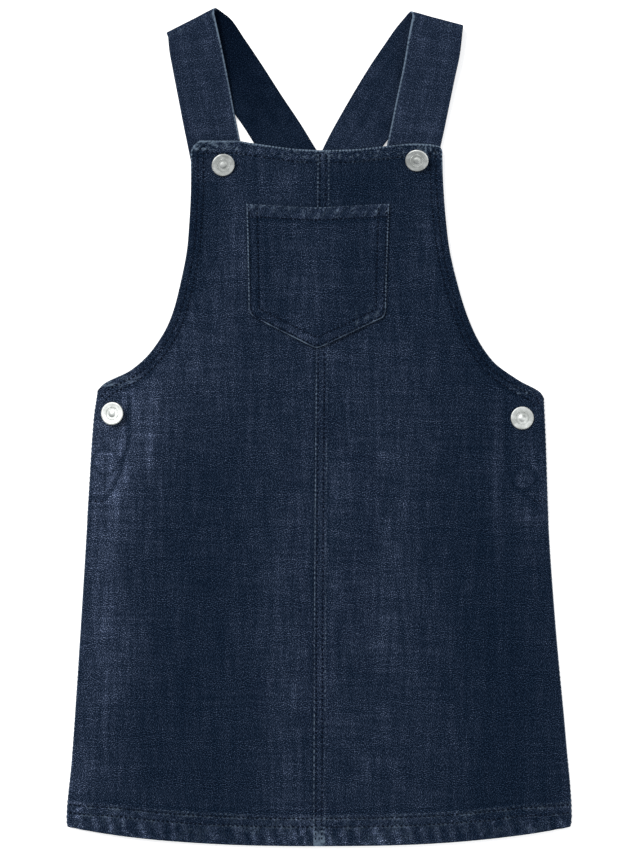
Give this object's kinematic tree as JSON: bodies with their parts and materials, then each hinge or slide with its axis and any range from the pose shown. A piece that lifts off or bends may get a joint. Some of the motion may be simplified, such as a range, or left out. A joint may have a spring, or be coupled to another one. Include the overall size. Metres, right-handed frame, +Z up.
{
  "type": "denim pinafore dress",
  "caption": "Small child's sleeveless denim pinafore dress with a bib, patch pocket, broad straps and tack buttons, laid flat on its back with the front up.",
  "frame": {"origin": "under the middle of the dress's outline, on the surface that it lies on", "axes": "+X towards the wearer's left, +Y from the hem to the straps, +Z up out of the front"},
  "size_m": [0.3646, 0.6038, 0.0134],
  "materials": {
    "denim": "indigo twill, worn pale along its edges, matte",
    "strap_denim": "indigo twill folded double, matte",
    "button_metal": "pale silver, brushed and slightly worn"
  },
  "bodies": {
    "root": {"back_panel": "denim", "front_right": "denim", "front_left": "denim", "pocket": "denim", "button_stand_right": "denim", "button_stand_left": "denim", "strap_right": "strap_denim", "strap_left": "strap_denim", "bib_button_right": "button_metal", "bib_button_left": "button_metal", "side_button_right": "button_metal", "side_button_left": "button_metal"}
  },
  "joints": []
}
